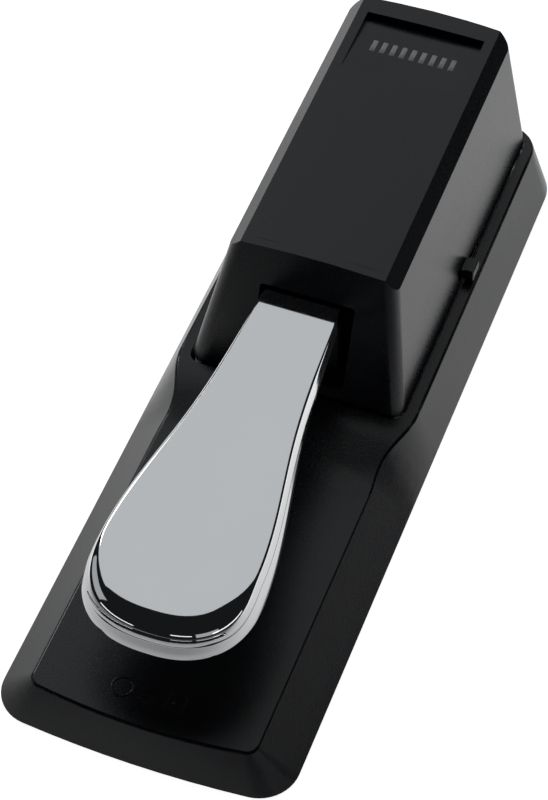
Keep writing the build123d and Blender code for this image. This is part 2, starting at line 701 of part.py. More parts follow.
def board(x, y, width, length, low, posts):
    """Circuit board with holes for its screws."""
    with BuildPart() as plate:
        with BuildSketch(Plane.XY.offset(low)):
            with Locations((x, y)):
                RectangleRounded(width, length, 1.5)
            with Locations(*[(px, py) for px, py, pz in posts]):
                Circle(HOLE_R, mode=Mode.SUBTRACT)
        extrude(amount=BOARD_T)
    return plate.part


save(group(board_post(MAIN_BOARD_Z), MAIN_POSTS), "main_board_posts")
save(group(board_post(SIDE_BOARD_Z), SIDE_POSTS), "side_board_posts")
save(group(board_screw(MAIN_BOARD_Z), MAIN_POSTS), "main_board_screws")
save(group(board_screw(SIDE_BOARD_Z), SIDE_POSTS), "side_board_screws")
save(board(0, SWITCH_Y, 34, 11, MAIN_BOARD_Z, MAIN_POSTS), "main_board")
save(board(24.6, 65, 12.8, 33, SIDE_BOARD_Z, SIDE_POSTS), "side_board")

main_face = MAIN_BOARD_Z + BOARD_T
with BuildPart() as microswitch_body:
    with Locations((0, SWITCH_Y, main_face)):
        Box(19.8, 6.4, SWITCH_TOP - main_face, align=STANDING)
    fillet(microswitch_body.edges().filter_by(Axis.Z), 0.6)
    with Locations((0, SWITCH_Y, PLUNGER_LOW - 2.2)):
        Box(3.8, 3.2, 20, align=STANDING, mode=Mode.SUBTRACT)
save(microswitch_body.part, "microswitch_body")

with BuildPart() as microswitch_plunger:
    with Locations((0, SWITCH_Y, PLUNGER_LOW)):
        Box(3.2, 2.6, PLUNGER_TOP - PLUNGER_LOW, align=STANDING)
    fillet(microswitch_plunger.edges().group_by(Axis.Z)[-1], 0.6)
save(microswitch_plunger.part, "microswitch_plunger")

pin = extrude(Plane.XY.offset(MAIN_BOARD_Z - 2.4) * Rectangle(1.2, 0.8), amount=2.4)
save(group(pin, [(x, SWITCH_Y, 0) for x in (-7.6, 0, 7.6)]), "microswitch_pins")

with BuildPart() as switch_striker:
    with BuildSketch(under_plane(SWITCH_Y)):
        RectangleRounded(7, 4.4, 0.8)
    extrude(amount=-(pedal_top(SWITCH_Y) - PEDAL_PLATE - PLUNGER_TOP - STRIKER_GAP))
save(Pos(PEDAL_X, 0, 0) * switch_striker.part, "switch_striker")

side_face = SIDE_BOARD_Z + BOARD_T
slide_length = KNOB_LENGTH + KNOB_TRAVEL + 1.0
with BuildPart() as polarity_switch_body:
    with Locations((26, KNOB_Y + KNOB_TRAVEL / 2, side_face)):
        Box(7.2, 16, POLARITY_TOP - side_face, align=STANDING)
    fillet(polarity_switch_body.edges().filter_by(Axis.Z), 0.5)
    with Locations((27.4, KNOB_Y + KNOB_TRAVEL / 2, KNOB_MID_Z)):
        Box(6, slide_length, KNOB_TOP - KNOB_LOW - 0.4, mode=Mode.SUBTRACT)
save(polarity_switch_body.part, "polarity_switch_body")

with BuildPart() as polarity_knob:
    with Locations((KNOB_ROOT_X, KNOB_Y, KNOB_MID_Z)):
        Box(KNOB_TIP_X - KNOB_ROOT_X, KNOB_LENGTH, KNOB_TOP - KNOB_LOW - 1.0, align=OUTWARDS)
    with Locations((KNOB_COLLAR_X, KNOB_Y, KNOB_MID_Z)):
        Box(KNOB_TIP_X - KNOB_COLLAR_X, KNOB_LENGTH, KNOB_TOP - KNOB_LOW, align=OUTWARDS)
    fillet(polarity_knob.faces().sort_by(Axis.X)[-1].edges(), 0.5)
save(polarity_knob.part, "polarity_knob")

# ---- cable inlet: rubber grommet in the rear wall ----------------------------------------
grommet = turned([
    (CABLE_R, -7.4), (CABLE_R, 0), (GROMMET_R + 0.6, 0), (GROMMET_R + 1.4, -0.8), (GROMMET_R + 1.4, -1.6),
    (GROMMET_R - FIT, -1.6), (GROMMET_R - FIT, -5.2), (GROMMET_R + 1.2, -5.2), (GROMMET_R + 0.6, -7.4),
])
save(Location((0, GROMMET_FACE_Y, CABLE_Z), (-90, 0, 0)) * grommet, "cable_grommet")
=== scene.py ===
import json
from math import cos, pi, radians, sin

import bmesh
import bpy
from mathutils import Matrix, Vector


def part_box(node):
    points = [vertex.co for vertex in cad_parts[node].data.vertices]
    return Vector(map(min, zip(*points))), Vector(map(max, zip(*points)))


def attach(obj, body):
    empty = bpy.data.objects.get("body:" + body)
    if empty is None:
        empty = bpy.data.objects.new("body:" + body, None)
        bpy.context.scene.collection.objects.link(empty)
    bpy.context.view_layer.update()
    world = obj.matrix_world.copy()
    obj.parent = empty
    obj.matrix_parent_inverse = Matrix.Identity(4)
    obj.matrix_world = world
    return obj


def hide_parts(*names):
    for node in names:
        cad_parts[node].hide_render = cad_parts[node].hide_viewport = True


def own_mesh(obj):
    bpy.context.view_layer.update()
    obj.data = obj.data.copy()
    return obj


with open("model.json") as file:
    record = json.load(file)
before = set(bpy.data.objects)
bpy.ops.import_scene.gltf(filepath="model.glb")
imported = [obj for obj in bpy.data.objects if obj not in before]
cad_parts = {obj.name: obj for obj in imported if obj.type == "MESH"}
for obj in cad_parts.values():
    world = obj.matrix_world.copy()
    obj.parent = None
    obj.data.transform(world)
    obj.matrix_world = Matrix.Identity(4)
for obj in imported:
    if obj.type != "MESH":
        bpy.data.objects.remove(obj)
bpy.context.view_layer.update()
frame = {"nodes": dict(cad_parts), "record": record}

MM = 0.001
scene = bpy.context.scene
nodes = frame["nodes"]
slots = {s["node"]: s["material_slot"] for s in frame["record"]["subparts"]}


# ---- small helpers ------------------------------------------------------------------
def straight_ramp(t):
    """Straight rise from 0 to 1, held outside."""
    return min(1.0, max(0.0, t))


def smooth_step(t):
    """0 below 0, 1 above 1, and an even S between them."""
    t = straight_ramp(t)
    return t * t * (3 - 2 * t)


def add_mesh(name, verts, faces):
    """A mesh object from vertices in millimetres."""
    mesh = bpy.data.meshes.new(name)
    mesh.from_pydata([Vector(v) * MM for v in verts], [], faces)
    mesh.validate()
    piece = bpy.data.objects.new(name, mesh)
    scene.collection.objects.link(piece)
    return piece


def tidy_mesh(piece):
    """Turns faces outwards and shades the piece smooth."""
    bm = bmesh.new()
    bm.from_mesh(piece.data)
    bmesh.ops.recalc_face_normals(bm, faces=bm.faces)
    for face in bm.faces:
        face.smooth = True
    bm.to_mesh(piece.data)
    bm.free()


# ---- camera -------------------------------------------------------------------------
VIEW_TURN = radians(20.653)    # to the object's right
VIEW_RISE = radians(51.129)
VIEW_DISTANCE = 0.8077
VIEW_TARGET = Vector((-0.0091, 0.00485, 0.0))
camera_data = bpy.data.cameras.new("camera")
camera_data.lens = 116.8
camera_data.clip_start = 0.01
camera = bpy.data.objects.new("camera", camera_data)
towards = Vector((sin(VIEW_TURN) * cos(VIEW_RISE), -cos(VIEW_TURN) * cos(VIEW_RISE), sin(VIEW_RISE)))
camera.location = VIEW_TARGET + towards * VIEW_DISTANCE
camera.rotation_euler = (pi / 2 - VIEW_RISE, 0, VIEW_TURN)
scene.collection.objects.link(camera)
scene.camera = camera
scene.view_settings.view_transform = "Standard"


# ---- node material helpers ------------------------------------------------------------
class Surface:
    """A principled material with a few procedural layers on object coordinates."""

    def __init__(self, name):
        self.material = bpy.data.materials.new(name)
        self.material.use_nodes = True
        self.tree = self.material.node_tree
        self.shader = self.tree.nodes["Principled BSDF"]
        self.coords = self.tree.nodes.new("ShaderNodeTexCoord").outputs["Object"]

    def node(self, kind, **settings):
        """A new shader node with the given settings."""
        made = self.tree.nodes.new(kind)
        for key, value in settings.items():
            setattr(made, key, value)
        return made

    def link(self, source, target):
        self.tree.links.new(source, target)

    def set(self, **values):
        """Sets shader sockets by name, with _ for a space."""
        for key, value in values.items():
            self.shader.inputs[key.replace("_", " ")].default_value = value

    def noise(self, scale, detail=2.0, roughness=0.5, stretch=None):
        """Noise factor, drawn out along an axis by a stretch below 1."""
        texture = self.node("ShaderNodeTexNoise")
        texture.inputs["Scale"].default_value = scale
        texture.inputs["Detail"].default_value = detail
        texture.inputs["Roughness"].default_value = roughness
        source = self.coords
        if stretch:
            mapping = self.node("ShaderNodeMapping")
            mapping.inputs["Scale"].default_value = stretch
            self.link(source, mapping.inputs["Vector"])
            source = mapping.outputs["Vector"]
        self.link(source, texture.inputs["Vector"])
        return texture.outputs["Fac"]

    def cells(self, scale):
        """Distance to the nearest cell centre."""
        texture = self.node("ShaderNodeTexVoronoi")
        texture.inputs["Scale"].default_value = scale
        self.link(self.coords, texture.inputs["Vector"])
        return texture.outputs["Distance"]

    def remap(self, source, low, high, new_low, new_high):
        ramp = self.node("ShaderNodeMapRange")
        for key, value in zip(("From Min", "From Max", "To Min", "To Max"), (low, high, new_low, new_high)):
            ramp.inputs[key].default_value = value
        self.link(source, ramp.inputs["Value"])
        return ramp.outputs["Result"]

    def math(self, operation, a, b):
        sum_node = self.node("ShaderNodeMath", operation=operation)
        for socket, value in zip(sum_node.inputs, (a, b)):
            if isinstance(value, (int, float)):
                socket.default_value = value
            else:
                self.link(value, socket)
        return sum_node.outputs[0]

    def colour(self, factor, dark, light):
        """Base colour running from dark to light with a factor."""
        ramp = self.node("ShaderNodeValToRGB")
        ramp.color_ramp.elements[0].color = (*dark, 1)
        ramp.color_ramp.elements[1].color = (*light, 1)
        self.link(factor, ramp.inputs["Fac"])
        self.link(ramp.outputs["Color"], self.shader.inputs["Base Color"])

    def bump(self, height, distance, strength=1.0):
        bump = self.node("ShaderNodeBump")
        bump.inputs["Distance"].default_value = distance
        bump.inputs["Strength"].default_value = strength
        self.link(height, bump.inputs["Height"])
        self.link(bump.outputs["Normal"], self.shader.inputs["Normal"])


def moulded_plastic(name, dark, light, rough_low, rough_high):
    """Spark-eroded black moulding: fine even grain, faint flow marks, slight gloss changes."""
    scale = 2600.0
    grain = 0.00002
    s = Surface(name)
    fine = s.noise(scale, 2.0, 0.6)
    flow = s.noise(22.0, 3.0, 0.5, (1.0, 0.25, 1.0))
    specks = s.cells(scale * 0.55)
    s.colour(flow, dark, light)
    broad_gloss = s.remap(flow, 0.3, 0.7, rough_low, rough_high)
    gloss = s.math("ADD", broad_gloss, s.remap(fine, 0.3, 0.7, -0.02, 0.02))
    s.link(gloss, s.shader.inputs["Roughness"])
    s.bump(s.math("ADD", fine, s.math("MULTIPLY", specks, 0.6)), grain)
    s.set(IOR=1.5)
    return s.material


def rubber(name):
    """Matt black rubber with a talcum-dull, slightly mottled skin."""
    s = Surface(name)
    mottle = s.noise(60.0, 4.0, 0.6)
    fine = s.noise(1800.0, 2.0, 0.6)
    s.colour(mottle, (0.012, 0.012, 0.013), (0.03, 0.03, 0.03))
    s.link(s.remap(mottle, 0.3, 0.7, 0.72, 0.9), s.shader.inputs["Roughness"])
    s.bump(fine, 0.00004)
    return s.material


def polished_chrome(name):
    """Bright plating: almost mirror, with faint haze and hair-fine wiping marks."""
    s = Surface(name)
    haze = s.noise(35.0, 3.0, 0.5)
    wipe = s.noise(420.0, 2.0, 0.5, (1.0, 0.06, 1.0))
    s.colour(haze, (0.80, 0.81, 0.82), (0.86, 0.865, 0.87))
    gloss = s.math("ADD", s.remap(haze, 0.3, 0.7, 0.035, 0.06), s.remap(wipe, 0.4, 0.8, 0.0, 0.02))
    s.link(gloss, s.shader.inputs["Roughness"])
    s.set(Metallic=1.0)
    s.bump(s.noise(9.0, 1.0, 0.4), 0.00002, 0.6)
    return s.material


def plated_steel(name, dark, light, rough, stretch):
    """Zinc-plated or drawn steel with brushed streaks."""
    s = Surface(name)
    streak = s.noise(300.0, 3.0, 0.6, stretch)
    cloud = s.noise(40.0, 2.0, 0.5)
    s.colour(s.math("MULTIPLY", s.math("ADD", streak, cloud), 0.5), dark, light)
    s.link(s.remap(streak, 0.3, 0.7, rough, rough + 0.14), s.shader.inputs["Roughness"])
    s.set(Metallic=1.0)
    s.bump(streak, 0.00001)
    return s.material


def circuit_board(name):
    """Green solder mask with copper tracks showing through as faint stripes."""
    s = Surface(name)
    wave = s.node("ShaderNodeTexWave", wave_type="BANDS", bands_direction="Y")
    wave.inputs["Scale"].default_value = 260.0
    wave.inputs["Distortion"].default_value = 0.6
    s.link(s.coords, wave.inputs["Vector"])
    s.colour(s.remap(wave.outputs["Fac"], 0.4, 0.6, 0.0, 1.0), (0.01, 0.07, 0.03), (0.03, 0.16, 0.07))
    s.set(Roughness=0.3)
    s.bump(wave.outputs["Fac"], 0.00003)
    return s.material


def plain_plastic(name, dark, light, rough):
    """Unpigmented or coloured technical plastic with a soft mottle."""
    s = Surface(name)
    mottle = s.noise(120.0, 3.0, 0.5)
    s.colour(mottle, dark, light)
    s.link(s.remap(mottle, 0.3, 0.7, rough, rough + 0.1), s.shader.inputs["Roughness"])
    s.bump(s.noise(1500.0, 2.0, 0.5), 0.00001)
    return s.material


materials = {
    "case_plastic": moulded_plastic(
        "case_plastic", (0.0022, 0.0034, 0.0066), (0.0036, 0.0050, 0.0088), 0.25, 0.31,
    ),
    "rubber_black": rubber("rubber_black"),
    "chrome": polished_chrome("chrome"),
    "zinc_steel": plated_steel("zinc_steel", (0.42, 0.43, 0.44), (0.62, 0.62, 0.60), 0.28, (1, 0.1, 1)),
    "spring_steel": plated_steel("spring_steel", (0.28, 0.28, 0.29), (0.45, 0.45, 0.44), 0.25, (1, 1, 0.2)),
    "nylon": plain_plastic("nylon", (0.55, 0.53, 0.47), (0.68, 0.66, 0.60), 0.45),
    "grey_plastic": plain_plastic("grey_plastic", (0.02, 0.02, 0.022), (0.035, 0.035, 0.037), 0.5),
    "circuit_board": circuit_board("circuit_board"),
    "switch_red": plain_plastic("switch_red", (0.35, 0.02, 0.015), (0.5, 0.03, 0.02), 0.3),
    "brass": plated_steel("brass", (0.55, 0.38, 0.14), (0.72, 0.52, 0.24), 0.25, (1, 1, 0.3)),
}


def finish_like(piece, slot_name, body):
    """Gives a new piece its material, slot and body."""
    piece.data.materials.clear()
    piece.data.materials.append(materials[slot_name])
    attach(piece, body)


for node_name, node_object in nodes.items():
    node_object.data.materials.clear()
    node_object.data.materials.append(materials[slots[node_name]])


# ---- pedal: plated foot plate with a blended nose, hollow below ---------------------------
PEDAL_X = -1.2
FOOT_HALF = 25.8
FOOT_CENTRE_Y = -92.0
FOOT_NOSE = 24.9
NOSE_SQUARENESS = 2.4             # 2 is an ellipse
WAIST = (-42.0, 18.0, -0.17)      # y, half width, slope
NECK = (8.0, 12.8, -0.09)
TAIL_Y = 68.0
PLATE = 3.2
TOP_Z = 47.5
TOP_SLOPE = 0.01
RIM_SLOPE = 0.077
PIVOT_Y, PIVOT_Z = 58.0, 39.4


def plate_top(y):
    """Height of the pedal's upper face."""
    return TOP_Z + TOP_SLOPE * (y - NECK[0])


def plate_low(y):
    """Lower edge of the rim in front of the slot, underside of the plate behind it."""
    return plate_top(y) - PLATE + (RIM_SLOPE - TOP_SLOPE) * min(0.0, y - NECK[0])


def hermite(y, start, end):
    """Half width between two stations of (y, half width, slope)."""
    span = end[0] - start[0]
    t = (y - start[0]) / span
    return (
        (2 * t**3 - 3 * t**2 + 1) * start[1] + (t**3 - 2 * t**2 + t) * span * start[2]
        + (3 * t**2 - 2 * t**3) * end[1] + (t**3 - t**2) * span * end[2]
    )


def foot_outline():
    """Right-hand outline from the nose back to the tail."""
    points = []
    steps = 56
    for i in range(steps + 1):
        angle = pi / 2 * i / steps
        c, s = cos(angle), sin(angle)
        length = (s ** NOSE_SQUARENESS + c ** NOSE_SQUARENESS) ** (-1 / NOSE_SQUARENESS)
        points.append((FOOT_HALF * length * s, FOOT_CENTRE_Y - FOOT_NOSE * length * c))
    broad = (FOOT_CENTRE_Y, FOOT_HALF, 0.0)
    for start, end, count in ((broad, WAIST, 30), (WAIST, NECK, 28)):
        for i in range(1, count + 1):
            y = start[0] + (end[0] - start[0]) * i / count
            points.append((hermite(y, start, end), y))
    for i in range(1, 13):
        points.append((NECK[1], NECK[0] + (TAIL_Y - NECK[0]) * i / 12))
    return points


FLANK = radians(72)        # steepest tilt of the sloping flank between its two roundings
ROLL_END = radians(100)    # the lower rounding rolls slightly under
FLARE = radians(17)        # the rim below it leans outwards
RIM_ROUND = 0.5
RIM_LEAST = 1.2            # height kept for the rim where the plate is thin
NOSE_START = -88.0         # the nose's larger roundings grow in from here
NOSE_BLEND = 20.0
SIDE_UPPER_R, NOSE_UPPER_GAIN = 1.3, 5.5
SIDE_LOWER_R, NOSE_LOWER_GAIN = 1.0, 3.8
SIDE_FLANK = 2.8
ROUND_STEPS = 8
RIM_WALL = 2.6             # thickness of the hollow pedal's rim
RIM_LIP = 0.3
INNER_R = 2.0              # rounding between the rim and the underside
FLAT_ROWS = (8.0, 3.0, 0.6, 0.15)
FLAT_REACH = 12.0          # rows on the flat top stay this near the edge


def section(y):
    """Edge section at y as (inset, drop) pairs, from the flat top down to the rim's lower edge."""
    nose = smooth_step((NOSE_START - y) / NOSE_BLEND)
    thickness = plate_top(y) - plate_low(y)
    upper_r = SIDE_UPPER_R + NOSE_UPPER_GAIN * nose
    flank = SIDE_FLANK * (1 - nose)
    lower_r = SIDE_LOWER_R + NOSE_LOWER_GAIN * nose
    tall = (
        upper_r * (1 - cos(FLANK)) + flank * sin(FLANK) + lower_r * (cos(FLANK) - cos(ROLL_END))
    )
    scale = min(1.0, (thickness - RIM_LEAST) / tall)
    upper_r, flank, lower_r = (v * scale for v in (upper_r, flank, lower_r))
    run = [(0.0, 0.0)]
    for k in range(1, ROUND_STEPS + 1):
        a = FLANK * k / ROUND_STEPS
        run.append((upper_r * sin(a), upper_r * (1 - cos(a))))
    out, drop = run[-1]
    for k in (1, 2, 3):
        run.append((out + flank * cos(FLANK) * k / 3, drop + flank * sin(FLANK) * k / 3))
    out, drop = run[-1]
    for k in range(1, ROUND_STEPS + 1):
        a = FLANK + (ROLL_END - FLANK) * k / ROUND_STEPS
        run.append((out + lower_r * (sin(a) - sin(FLANK)), drop + lower_r * (cos(FLANK) - cos(a))))
    out, drop = run[-1]
    band = thickness - RIM_ROUND - drop
    for share in (0.03, 0.06, 0.5, 1.0):
        run.append((out + band * share * sin(FLARE), drop + band * share))
    widest = run[-1][0]
    return [(widest - a, b) for a, b in run]


def build_pedal():
    """Rows of points round the edge, from the flat top over the rim to the hollow underside."""
    half = foot_outline()
    outline = [(-x, y) for x, y in reversed(half[1:])] + half
    count = len(outline)
    inward = []
    for i in range(count):
        before = outline[max(i - 1, 0)]
        after = outline[min(i + 1, count - 1)]
        along = Vector((after[0] - before[0], after[1] - before[1])).normalized()
        inward.append(Vector((-along.y, along.x)))
    rings = []
    sections = [section(y) for x, y in outline]

    def ring(place):
        """One row of points; place(i, y) gives the inset and the height at outline point i."""
        row = []
        for i, ((x, y), n) in enumerate(zip(outline, inward)):
            inset, height = place(i, y)
            row.append((PEDAL_X + x + n.x * inset, min(y + n.y * inset, TAIL_Y), height))
        rings.append(row)

    for extra in FLAT_ROWS:
        ring(lambda i, y, e=extra: (min(sections[i][0][0] + e, FLAT_REACH), plate_top(y)))
    for k in range(len(sections[0])):
        ring(lambda i, y, k=k: (sections[i][k][0], plate_top(y) - sections[i][k][1]))
    for k in range(1, 6):
        angle = pi / 2 * k / 5
        ring(lambda i, y, a=angle: (RIM_ROUND * (1 - cos(a)), plate_low(y) + RIM_ROUND * (1 - sin(a))))
    for k in range(5):
        angle = pi / 2 * k / 4
        ring(lambda i, y, a=angle: (
            RIM_WALL - RIM_LIP + RIM_LIP * sin(a), plate_low(y) + RIM_LIP * (1 - cos(a)),
        ))
    for k in range(6):
        angle = pi / 2 * k / 5
        ring(lambda i, y, a=angle: (
            RIM_WALL + INNER_R * (1 - cos(a)),
            max(plate_low(y) + RIM_LIP, plate_top(y) - PLATE - INNER_R * (1 - sin(a))),
        ))
    verts = [v for row in rings for v in row]
    faces = []
    for j in range(len(rings) - 1):
        for i in range(count - 1):
            a = j * count + i
            faces.append((a, a + 1, a + count + 1, a + count))
    last = (len(rings) - 1) * count
    # the flat faces inside the innermost rows are strips across the pedal
    for first, flip in ((0, False), (last, True)):
        for i in range(count // 2):
            k = count - 1 - i
            a, b, c, d = first + i, first + i + 1, first + k - 1, first + k
            quad = (a, b, c, d) if b != c else (a, b, d)
            faces.append(quad[::-1] if flip else quad)
    right_end = [j * count + count - 1 for j in range(len(rings))]
    left_end = [j * count for j in range(len(rings))]
    faces.append(tuple(right_end + left_end[::-1]))
    return add_mesh("foot_pedal", verts, faces)


foot_pedal = build_pedal()
tidy_mesh(foot_pedal)
finish_like(foot_pedal, "chrome", "pedal")


LUG_WIDTH = 2.6
LUG_INSET = 0.01           # keeps the lug's side off the plate's own side face
LUG_R = 7.6
LUG_BORE_R = 4.52


def lug_mesh(x_low, x_high, y, z, radius, hole):
    """Hinge lug: rounded below, straight up into the plate, bored for the bush."""
    segments = 48
    outer, inner = [], []
    top = plate_top(y) - PLATE / 2
    for i in range(segments):
        angle = 2 * pi * i / segments
        c, s = cos(angle), sin(angle)
        reach = radius if s < 0 else min(radius / max(abs(c), 0.001), (top - z) / max(s, 0.001))
        outer.append((y + reach * c, z + reach * s))
        inner.append((y + hole * c, z + hole * s))
    verts = [(x, py, pz) for x in (x_low, x_high) for row in (outer, inner) for py, pz in row]
    n = segments
    faces = []
    for i in range(n):
        k = (i + 1) % n
        faces.append((i, k, n + k, n + i))
        faces.append((2 * n + i, 3 * n + i, 3 * n + k, 2 * n + k))
        faces.append((i, 2 * n + i, 2 * n + k, k))
        faces.append((n + i, n + k, 3 * n + k, 3 * n + i))
    return verts, faces


for side, piece_name in ((-1, "hinge_lug_left"), (1, "hinge_lug_right")):
    low_x, high_x = sorted(PEDAL_X + side * (NECK[1] - inset) for inset in (LUG_WIDTH, LUG_INSET))
    lug = add_mesh(piece_name, *lug_mesh(low_x, high_x, PIVOT_Y, PIVOT_Z, LUG_R, LUG_BORE_R))
    tidy_mesh(lug)
    finish_like(lug, "chrome", "pedal")
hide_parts("pedal")


# ---- housing: cover and bezel drawn as one skin with softened edges ---------------------------
SEAM_WIDTH = 0.12 * MM
FLAT_ANGLE = radians(1.2)
SHARP_ANGLE = radians(20)
CREASE_ANGLE = radians(30)
EDGE_ROUND = 0.55 * MM
SEAM_REACH = 2.5 * MM      # below the ledge the parting plane lies in front of this y
HOUSING_HEART = Vector((0, 0.06, 0.03))    # outer faces look away from this point


def on_seam(vertex, run_y, run_z):
    """True if a vertex lies on the parting plane between the bezel and the cover."""
    (y_low, y_high), (z_low, z_high) = run_y, run_z
    y = y_low + (y_high - y_low) * max(0.0, vertex.co.z - z_low) / (z_high - z_low)
    return abs(vertex.co.y - y) < SEAM_WIDTH


def build_housing():
    """Joins the two mouldings along their seam, merges flat facets and rounds the sharp edges."""
    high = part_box("front_bezel")[1]
    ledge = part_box("base_shell")[1][2]
    bm = bmesh.new()
    for name in ("housing_cover", "front_bezel"):
        bm.from_mesh(nodes[name].data)
    seam_low = max(v.co.y for v in bm.verts if v.co.z < ledge - MM and v.co.y < SEAM_REACH)
    seam_y, seam_z = (seam_low, high[1]), (ledge, high[2])
    doomed = [f for f in bm.faces if all(on_seam(v, seam_y, seam_z) for v in f.verts)]
    bmesh.ops.delete(bm, geom=doomed, context="FACES")
    bmesh.ops.remove_doubles(bm, verts=bm.verts, dist=SEAM_WIDTH)
    bmesh.ops.dissolve_limit(bm, angle_limit=FLAT_ANGLE, verts=bm.verts, edges=bm.edges)
    sharp = [
        e for e in bm.edges
        if len(e.link_faces) == 2 and e.is_convex and e.calc_face_angle(0.0) > SHARP_ANGLE
        and min(v.co.z for v in e.verts) > ledge + MM
        and all(f.normal.dot(f.calc_center_median() - HOUSING_HEART) > 0 for f in e.link_faces)
    ]
    bmesh.ops.bevel(
        bm, geom=sharp, offset=EDGE_ROUND, offset_type="OFFSET", segments=3, profile=0.6,
        affect="EDGES", clamp_overlap=True,
    )
    bmesh.ops.recalc_face_normals(bm, faces=bm.faces)
    for face in bm.faces:
        face.smooth = True
    for edge in bm.edges:
        if len(edge.link_faces) == 2 and edge.calc_face_angle(0.0) > CREASE_ANGLE:
            edge.smooth = False
    mesh = bpy.data.meshes.new("housing_skin")
    bm.to_mesh(mesh)
    bm.free()
    skin = bpy.data.objects.new("housing_skin", mesh)
    scene.collection.objects.link(skin)
    return skin


housing_skin = build_housing()
finish_like(housing_skin, "case_plastic", "base")
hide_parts("housing_cover", "front_bezel")
for smooth_piece in (housing_skin, nodes["base_shell"]):
    even = smooth_piece.modifiers.new("even_shading", "WEIGHTED_NORMAL")
    even.keep_sharp = True
    even.weight = 80


# ---- return spring: round wire coil with closed ends --------------------------------------
def tube_along(name, path, radius, sides):
    """Closed tube of round section along a list of points in millimetres."""
    verts, faces = [], []
    up = Vector((0, 0, 1))
    count = len(path)
    for i, point in enumerate(path):
        along = (path[min(i + 1, count - 1)] - path[max(i - 1, 0)]).normalized()
        side = along.cross(up).normalized()
        rise = side.cross(along)
        for k in range(sides):
            angle = 2 * pi * k / sides
            verts.append(point + side * radius * cos(angle) + rise * radius * sin(angle))
    for i in range(count - 1):
        for k in range(sides):
            a, b = i * sides + k, i * sides + (k + 1) % sides
            faces.append((a, b, b + sides, a + sides))
    faces.append(tuple(range(sides - 1, -1, -1)))
    faces.append(tuple((count - 1) * sides + k for k in range(sides)))
    return add_mesh(name, verts, faces)


WIRE_R = 0.9
SPRING_TURNS = 8.5
CLOSED_TURNS = 1.0         # at each end the wire lies on itself
STEPS_PER_TURN = 36


def build_spring():
    """Helix between the box's ends, with a closed turn at each end."""
    low, high = (Vector(corner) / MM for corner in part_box("return_spring"))
    radius = (high.x - low.x) / 2 - WIRE_R
    centre = (low + high) / 2
    bottom, top = low.z + WIRE_R, high.z - WIRE_R
    open_rise = top - bottom - 4 * WIRE_R * CLOSED_TURNS
    path = []
    steps = int(SPRING_TURNS * STEPS_PER_TURN)
    for i in range(steps + 1):
        turn = SPRING_TURNS * i / steps
        share = (turn - CLOSED_TURNS) / (SPRING_TURNS - 2 * CLOSED_TURNS)
        z = bottom + 2 * WIRE_R * min(turn, CLOSED_TURNS) + open_rise * straight_ramp(share)
        z += 2 * WIRE_R * max(0.0, turn - (SPRING_TURNS - CLOSED_TURNS))
        angle = 2 * pi * turn
        path.append(Vector((centre.x + radius * cos(angle), centre.y + radius * sin(angle), z)))
    return tube_along("spring_coil", path, WIRE_R, 12)


spring_coil = build_spring()
tidy_mesh(spring_coil)
finish_like(spring_coil, "spring_steel", "base")
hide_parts("return_spring")
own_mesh(spring_coil)


# ---- printed and moulded marks: plain shapes that mean nothing in particular ------------------
STROKE_SINK = 0.05         # strokes start this far below the surface
STROKE_TOP_SHARE = 0.45    # half width of a stroke's flat top, as a share of its own


def ribbon(name, strokes, width, height, place):
    """Raised flat strokes; each stroke is a list of (u, v) points, place maps (u, v, rise) to space."""
    verts, faces = [], []
    for stroke in strokes:
        first = len(verts)
        count = len(stroke)
        closed = (Vector(stroke[0]) - Vector(stroke[-1])).length < 1e-6
        for i, (u, v) in enumerate(stroke):
            before = stroke[i - 1] if i else (stroke[-2] if closed else stroke[0])
            after = stroke[i + 1] if i < count - 1 else (stroke[1] if closed else stroke[-1])
            along = Vector((after[0] - before[0], after[1] - before[1])).normalized()
            across = Vector((-along.y, along.x)) * width / 2
            for side, rise in (
                (-1, -STROKE_SINK), (-STROKE_TOP_SHARE, height),
                (STROKE_TOP_SHARE, height), (1, -STROKE_SINK),
            ):
                verts.append(place(u + across.x * side, v + across.y * side, rise))
        for i in range(count - 1):
            for k in range(3):
                a = first + i * 4 + k
                faces.append((a, a + 1, a + 5, a + 4))
        if not closed:
            faces.append(tuple(first + k for k in (3, 2, 1, 0)))
            faces.append(tuple(first + (count - 1) * 4 + k for k in range(4)))
    return add_mesh(name, verts, faces)


def ring_points(u, v, radius):
    """Closed ring of points."""
    steps = 40
    angles = [radians(360 * i / steps) for i in range(steps + 1)]
    return [(u + radius * cos(angle), v + radius * sin(angle)) for angle in angles]


DECK_Z = 13.6
MARK_LOW, MARK_HIGH = -119.2, -114.0


def deck_place(u, v, rise):
    """Point on the deck, u across and v along."""
    return u, v, DECK_Z + rise


def mark_shapes():
    """A ring, a triangle and a square with a bar."""
    middle = (MARK_LOW + MARK_HIGH) / 2
    ring = ring_points(-8.6, middle, 3.1)
    triangle = [(-3.4, MARK_LOW), (-0.3, -113.8), (2.8, MARK_LOW), (-3.4, MARK_LOW)]
    square = [(5.2, MARK_LOW), (10.4, MARK_LOW), (10.4, MARK_HIGH), (5.2, MARK_HIGH), (5.2, MARK_LOW)]
    bar = [(6.2, middle), (9.4, middle)]
    return [ring, triangle, square, bar]


deck_marks = ribbon("deck_marks", mark_shapes(), 0.85, 0.22, deck_place)
tidy_mesh(deck_marks)
finish_like(deck_marks, "case_plastic", "base")


LABEL_LENGTH = 25.4
LABEL_MID_Y = 104.7
LABEL_FRONT_Z = 61.46
LABEL_REAR_Z = 59.99
BAR_COUNT = 9
BAR_FIRST, BAR_PITCH = -13.0, 3.25
BAR_HALF = 2.6


def label_place(u, v, rise):
    """Point on the floor of the label recess, u across and v along, from its middle."""
    share = (v + LABEL_LENGTH / 2) / LABEL_LENGTH
    floor_z = LABEL_FRONT_Z + (LABEL_REAR_Z - LABEL_FRONT_Z) * share
    return u, LABEL_MID_Y + v, floor_z + rise


